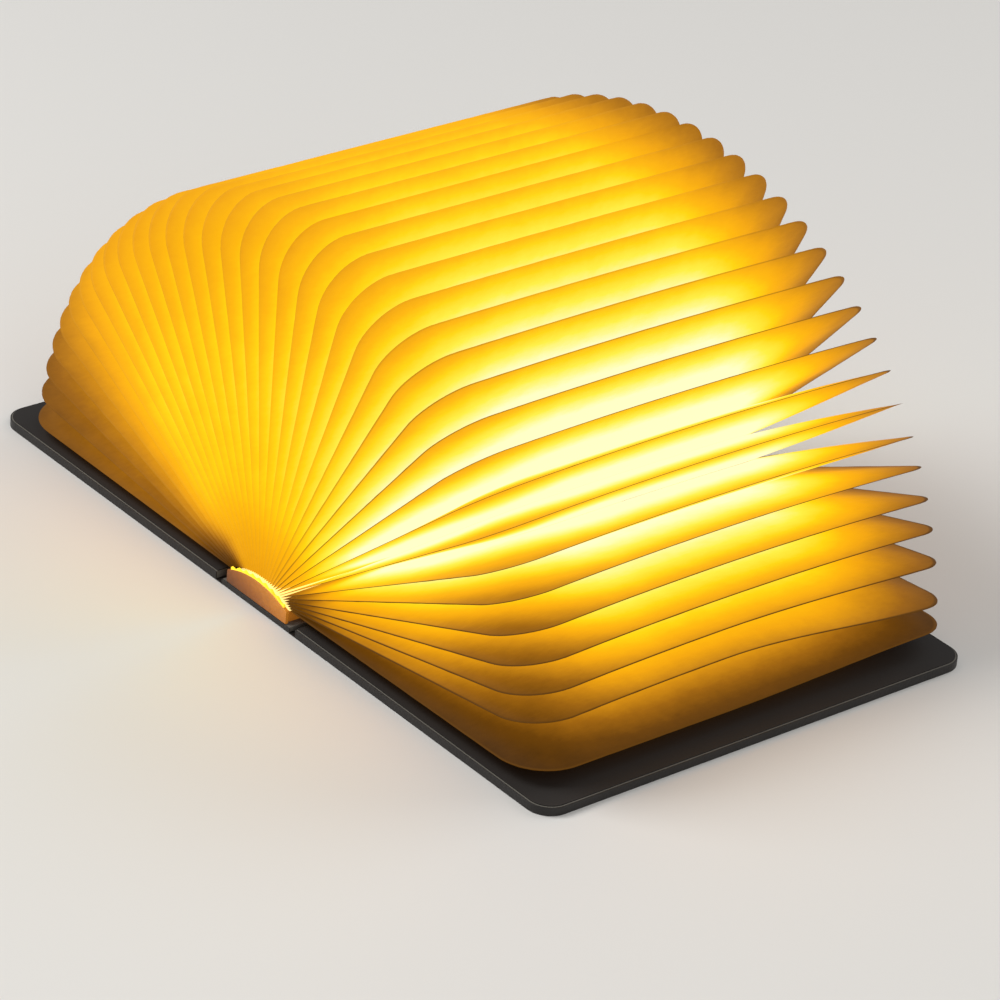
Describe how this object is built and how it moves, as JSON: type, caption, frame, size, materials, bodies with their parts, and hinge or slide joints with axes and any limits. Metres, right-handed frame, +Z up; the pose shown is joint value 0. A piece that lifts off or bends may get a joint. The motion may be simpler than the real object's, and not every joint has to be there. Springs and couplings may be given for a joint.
{
  "type": "folding book lamp",
  "caption": "Lamp shaped like a hardback book: two hinged black covers open flat and a lit accordion fan of translucent pages stands over the spine.",
  "frame": {"origin": "bounding box bottom centre: on the underside of the spine, midway along it", "axes": "+Z up, X across the open book (front cover at -X, back cover at +X), Y along the spine, near end at -Y"},
  "size_m": [0.364, 0.216, 0.1648],
  "materials": {
    "page_paper": "translucent fibrous spunbond sheet, lit from inside",
    "leatherette": "matte black, fine grain",
    "greyboard": "matte",
    "lining_paper": "matte black",
    "module_plastic": "satin, warm white lit orange",
    "diffuser_plastic": "opal translucent",
    "circuit_board": "white solder mask",
    "led": "phosphor",
    "battery_foil": "foil pouch",
    "steel": "plated",
    "magnet": "nickel plated",
    "reed_glass": "clear"
  },
  "bodies": {
    "spine": {"spine_wrap": "leatherette", "spine_board": "greyboard", "front_hinge_strip": "leatherette", "back_hinge_strip": "leatherette", "light_tray": "module_plastic", "light_diffuser": "diffuser_plastic", "near_end_cap": "module_plastic", "far_end_cap": "module_plastic", "led_board": "circuit_board", "led_chips": "led", "battery": "battery_foil", "control_board": "circuit_board", "usb_socket": "steel", "reed_switch": "reed_glass", "case_screws": "steel", "page_19": "page_paper"},
    "front_cover": {"front_cover_board": "greyboard", "front_cover_wrap": "leatherette", "front_cover_lining": "lining_paper", "front_magnets": "magnet", "page_37": "page_paper"},
    "back_cover": {"back_cover_board": "greyboard", "back_cover_wrap": "leatherette", "back_cover_lining": "lining_paper", "back_magnets": "magnet", "page_01": "page_paper"},
    "leaf_02": {"page_02": "page_paper"},
    "leaf_03": {"page_03": "page_paper"},
    "leaf_04": {"page_04": "page_paper"},
    "leaf_05": {"page_05": "page_paper"},
    "leaf_06": {"page_06": "page_paper"},
    "leaf_07": {"page_07": "page_paper"},
    "leaf_08": {"page_08": "page_paper"},
    "leaf_09": {"page_09": "page_paper"},
    "leaf_10": {"page_10": "page_paper"},
    "leaf_11": {"page_11": "page_paper"},
    "leaf_12": {"page_12": "page_paper"},
    "leaf_13": {"page_13": "page_paper"},
    "leaf_14": {"page_14": "page_paper"},
    "leaf_15": {"page_15": "page_paper"},
    "leaf_16": {"page_16": "page_paper"},
    "leaf_17": {"page_17": "page_paper"},
    "leaf_18": {"page_18": "page_paper"},
    "leaf_20": {"page_20": "page_paper"},
    "leaf_21": {"page_21": "page_paper"},
    "leaf_22": {"page_22": "page_paper"},
    "leaf_23": {"page_23": "page_paper"},
    "leaf_24": {"page_24": "page_paper"},
    "leaf_25": {"page_25": "page_paper"},
    "leaf_26": {"page_26": "page_paper"},
    "leaf_27": {"page_27": "page_paper"},
    "leaf_28": {"page_28": "page_paper"},
    "leaf_29": {"page_29": "page_paper"},
    "leaf_30": {"page_30": "page_paper"},
    "leaf_31": {"page_31": "page_paper"},
    "leaf_32": {"page_32": "page_paper"},
    "leaf_33": {"page_33": "page_paper"},
    "leaf_34": {"page_34": "page_paper"},
    "leaf_35": {"page_35": "page_paper"},
    "leaf_36": {"page_36": "page_paper"}
  },
  "joints": [
    {"name": "front_cover_hinge", "type": "hinge", "parent": "spine", "child": "front_cover", "pos_m": [-0.024, 0, 0.0006], "axis": [0, 1, 0], "range_deg": [-98, 90], "deforming": ["front_hinge_strip", "page_37"]},
    {"name": "back_cover_hinge", "type": "hinge", "parent": "spine", "child": "back_cover", "pos_m": [0.024, 0, 0.0006], "axis": [0, -1, 0], "range_deg": [-98, 90], "deforming": ["back_hinge_strip", "page_01"]},
    {"name": "page_02_turn", "type": "hinge", "parent": "spine", "child": "leaf_02", "pos_m": [0.02403, 0, -0.00056], "axis": [0, -1, 0], "range_deg": [-88.38, 81.17], "deforming": ["page_02"]},
    {"name": "page_03_turn", "type": "hinge", "parent": "spine", "child": "leaf_03", "pos_m": [0.0227, 0, 0.00063], "axis": [0, -1, 0], "range_deg": [-83.98, 77.13], "deforming": ["page_03"]},
    {"name": "page_04_turn", "type": "hinge", "parent": "spine", "child": "leaf_04", "pos_m": [0.02137, 0, 0.00174], "axis": [0, -1, 0], "range_deg": [-79.36, 72.88], "deforming": ["page_04"]},
    {"name": "page_05_turn", "type": "hinge", "parent": "spine", "child": "leaf_05", "pos_m": [0.02003, 0, 0.00277], "axis": [0, -1, 0], "range_deg": [-74.52, 68.44], "deforming": ["page_05"]},
    {"name": "page_06_turn", "type": "hinge", "parent": "spine", "child": "leaf_06", "pos_m": [0.01869, 0, 0.00373], "axis": [0, -1, 0], "range_deg": [-69.46, 63.79], "deforming": ["page_06"]},
    {"name": "page_07_turn", "type": "hinge", "parent": "spine", "child": "leaf_07", "pos_m": [0.0173, 0, 0.00463], "axis": [0, -1, 0], "range_deg": [-64.62, 59.35], "deforming": ["page_07"]},
    {"name": "page_08_turn", "type": "hinge", "parent": "spine", "child": "leaf_08", "pos_m": [0.01595, 0, 0.00543], "axis": [0, -1, 0], "range_deg": [-59.24, 54.4], "deforming": ["page_08"]},
    {"name": "page_09_turn", "type": "hinge", "parent": "spine", "child": "leaf_09", "pos_m": [0.01457, 0, 0.00616], "axis": [0, -1, 0], "range_deg": [-53.85, 49.46], "deforming": ["page_09"]},
    {"name": "page_10_turn", "type": "hinge", "parent": "spine", "child": "leaf_10", "pos_m": [0.01317, 0, 0.00683], "axis": [0, -1, 0], "range_deg": [-48.47, 44.51], "deforming": ["page_10"]},
    {"name": "page_11_turn", "type": "hinge", "parent": "spine", "child": "leaf_11", "pos_m": [0.01175, 0, 0.00742], "axis": [0, -1, 0], "range_deg": [-43.09, 39.57], "deforming": ["page_11"]},
    {"name": "page_12_turn", "type": "hinge", "parent": "spine", "child": "leaf_12", "pos_m": [0.01032, 0, 0.00794], "axis": [0, -1, 0], "range_deg": [-37.7, 34.63], "deforming": ["page_12"]},
    {"name": "page_13_turn", "type": "hinge", "parent": "spine", "child": "leaf_13", "pos_m": [0.00887, 0, 0.0084], "axis": [0, -1, 0], "range_deg": [-32.32, 29.68], "deforming": ["page_13"]},
    {"name": "page_14_turn", "type": "hinge", "parent": "spine", "child": "leaf_14", "pos_m": [0.00741, 0, 0.00878], "axis": [0, -1, 0], "range_deg": [-26.93, 24.74], "deforming": ["page_14"]},
    {"name": "page_15_turn", "type": "hinge", "parent": "spine", "child": "leaf_15", "pos_m": [0.00594, 0, 0.0091], "axis": [0, -1, 0], "range_deg": [-21.55, 19.79], "deforming": ["page_15"]},
    {"name": "page_16_turn", "type": "hinge", "parent": "spine", "child": "leaf_16", "pos_m": [0.00446, 0, 0.00934], "axis": [0, -1, 0], "range_deg": [-16.17, 14.85], "deforming": ["page_16"]},
    {"name": "page_17_turn", "type": "hinge", "parent": "spine", "child": "leaf_17", "pos_m": [0.00298, 0, 0.00952], "axis": [0, -1, 0], "range_deg": [-10.78, 9.9], "deforming": ["page_17"]},
    {"name": "page_18_turn", "type": "hinge", "parent": "spine", "child": "leaf_18", "pos_m": [0.00149, 0, 0.00962], "axis": [0, -1, 0], "range_deg": [-5.4, 4.96], "deforming": ["page_18"]},
    {"name": "page_20_turn", "type": "hinge", "parent": "spine", "child": "leaf_20", "pos_m": [-0.00149, 0, 0.00962], "axis": [0, 1, 0], "range_deg": [-5.4, 4.96], "deforming": ["page_20"]},
    {"name": "page_21_turn", "type": "hinge", "parent": "spine", "child": "leaf_21", "pos_m": [-0.00298, 0, 0.00952], "axis": [0, 1, 0], "range_deg": [-10.78, 9.9], "deforming": ["page_21"]},
    {"name": "page_22_turn", "type": "hinge", "parent": "spine", "child": "leaf_22", "pos_m": [-0.00446, 0, 0.00934], "axis": [0, 1, 0], "range_deg": [-16.17, 14.85], "deforming": ["page_22"]},
    {"name": "page_23_turn", "type": "hinge", "parent": "spine", "child": "leaf_23", "pos_m": [-0.00594, 0, 0.0091], "axis": [0, 1, 0], "range_deg": [-21.55, 19.79], "deforming": ["page_23"]},
    {"name": "page_24_turn", "type": "hinge", "parent": "spine", "child": "leaf_24", "pos_m": [-0.00741, 0, 0.00878], "axis": [0, 1, 0], "range_deg": [-26.93, 24.74], "deforming": ["page_24"]},
    {"name": "page_25_turn", "type": "hinge", "parent": "spine", "child": "leaf_25", "pos_m": [-0.00887, 0, 0.0084], "axis": [0, 1, 0], "range_deg": [-32.32, 29.68], "deforming": ["page_25"]},
    {"name": "page_26_turn", "type": "hinge", "parent": "spine", "child": "leaf_26", "pos_m": [-0.01032, 0, 0.00794], "axis": [0, 1, 0], "range_deg": [-37.7, 34.63], "deforming": ["page_26"]},
    {"name": "page_27_turn", "type": "hinge", "parent": "spine", "child": "leaf_27", "pos_m": [-0.01175, 0, 0.00742], "axis": [0, 1, 0], "range_deg": [-43.09, 39.57], "deforming": ["page_27"]},
    {"name": "page_28_turn", "type": "hinge", "parent": "spine", "child": "leaf_28", "pos_m": [-0.01317, 0, 0.00683], "axis": [0, 1, 0], "range_deg": [-48.47, 44.51], "deforming": ["page_28"]},
    {"name": "page_29_turn", "type": "hinge", "parent": "spine", "child": "leaf_29", "pos_m": [-0.01457, 0, 0.00616], "axis": [0, 1, 0], "range_deg": [-53.85, 49.46], "deforming": ["page_29"]},
    {"name": "page_30_turn", "type": "hinge", "parent": "spine", "child": "leaf_30", "pos_m": [-0.01595, 0, 0.00543], "axis": [0, 1, 0], "range_deg": [-59.24, 54.4], "deforming": ["page_30"]},
    {"name": "page_31_turn", "type": "hinge", "parent": "spine", "child": "leaf_31", "pos_m": [-0.0173, 0, 0.00463], "axis": [0, 1, 0], "range_deg": [-64.62, 59.35], "deforming": ["page_31"]},
    {"name": "page_32_turn", "type": "hinge", "parent": "spine", "child": "leaf_32", "pos_m": [-0.01863, 0, 0.00375], "axis": [0, 1, 0], "range_deg": [-70.01, 64.29], "deforming": ["page_32"]},
    {"name": "page_33_turn", "type": "hinge", "parent": "spine", "child": "leaf_33", "pos_m": [-0.01993, 0, 0.00281], "axis": [0, 1, 0], "range_deg": [-75.39, 69.24], "deforming": ["page_33"]},
    {"name": "page_34_turn", "type": "hinge", "parent": "spine", "child": "leaf_34", "pos_m": [-0.0212, 0, 0.0018], "axis": [0, 1, 0], "range_deg": [-80.77, 74.18], "deforming": ["page_34"]},
    {"name": "page_35_turn", "type": "hinge", "parent": "spine", "child": "leaf_35", "pos_m": [-0.02244, 0, 0.00072], "axis": [0, 1, 0], "range_deg": [-86.16, 79.13], "deforming": ["page_35"]},
    {"name": "page_36_turn", "type": "hinge", "parent": "spine", "child": "leaf_36", "pos_m": [-0.02364, 0, -0.00043], "axis": [0, 1, 0], "range_deg": [-91.54, 84.07], "deforming": ["page_36"]}
  ],
  "couplings": [
    {"joint": "page_02_turn", "follows": "back_cover_hinge", "ratio": 0.90173},
    {"joint": "page_03_turn", "follows": "back_cover_hinge", "ratio": 0.85679},
    {"joint": "page_04_turn", "follows": "back_cover_hinge", "ratio": 0.80963},
    {"joint": "page_05_turn", "follows": "back_cover_hinge", "ratio": 0.76025},
    {"joint": "page_06_turn", "follows": "back_cover_hinge", "ratio": 0.70864},
    {"joint": "page_07_turn", "follows": "back_cover_hinge", "ratio": 0.65926},
    {"joint": "page_08_turn", "follows": "back_cover_hinge", "ratio": 0.60432},
    {"joint": "page_09_turn", "follows": "back_cover_hinge", "ratio": 0.54938},
    {"joint": "page_10_turn", "follows": "back_cover_hinge", "ratio": 0.49444},
    {"joint": "page_11_turn", "follows": "back_cover_hinge", "ratio": 0.43951},
    {"joint": "page_12_turn", "follows": "back_cover_hinge", "ratio": 0.38457},
    {"joint": "page_13_turn", "follows": "back_cover_hinge", "ratio": 0.32963},
    {"joint": "page_14_turn", "follows": "back_cover_hinge", "ratio": 0.27469},
    {"joint": "page_15_turn", "follows": "back_cover_hinge", "ratio": 0.21975},
    {"joint": "page_16_turn", "follows": "back_cover_hinge", "ratio": 0.16481},
    {"joint": "page_17_turn", "follows": "back_cover_hinge", "ratio": 0.10988},
    {"joint": "page_18_turn", "follows": "back_cover_hinge", "ratio": 0.054938},
    {"joint": "page_20_turn", "follows": "front_cover_hinge", "ratio": 0.054938},
    {"joint": "page_21_turn", "follows": "front_cover_hinge", "ratio": 0.10988},
    {"joint": "page_22_turn", "follows": "front_cover_hinge", "ratio": 0.16481},
    {"joint": "page_23_turn", "follows": "front_cover_hinge", "ratio": 0.21975},
    {"joint": "page_24_turn", "follows": "front_cover_hinge", "ratio": 0.27469},
    {"joint": "page_25_turn", "follows": "front_cover_hinge", "ratio": 0.32963},
    {"joint": "page_26_turn", "follows": "front_cover_hinge", "ratio": 0.38457},
    {"joint": "page_27_turn", "follows": "front_cover_hinge", "ratio": 0.43951},
    {"joint": "page_28_turn", "follows": "front_cover_hinge", "ratio": 0.49444},
    {"joint": "page_29_turn", "follows": "front_cover_hinge", "ratio": 0.54938},
    {"joint": "page_30_turn", "follows": "front_cover_hinge", "ratio": 0.60432},
    {"joint": "page_31_turn", "follows": "front_cover_hinge", "ratio": 0.65926},
    {"joint": "page_32_turn", "follows": "front_cover_hinge", "ratio": 0.7142},
    {"joint": "page_33_turn", "follows": "front_cover_hinge", "ratio": 0.76914},
    {"joint": "page_34_turn", "follows": "front_cover_hinge", "ratio": 0.82407},
    {"joint": "page_35_turn", "follows": "front_cover_hinge", "ratio": 0.87901},
    {"joint": "page_36_turn", "follows": "front_cover_hinge", "ratio": 0.93395}
  ]
}
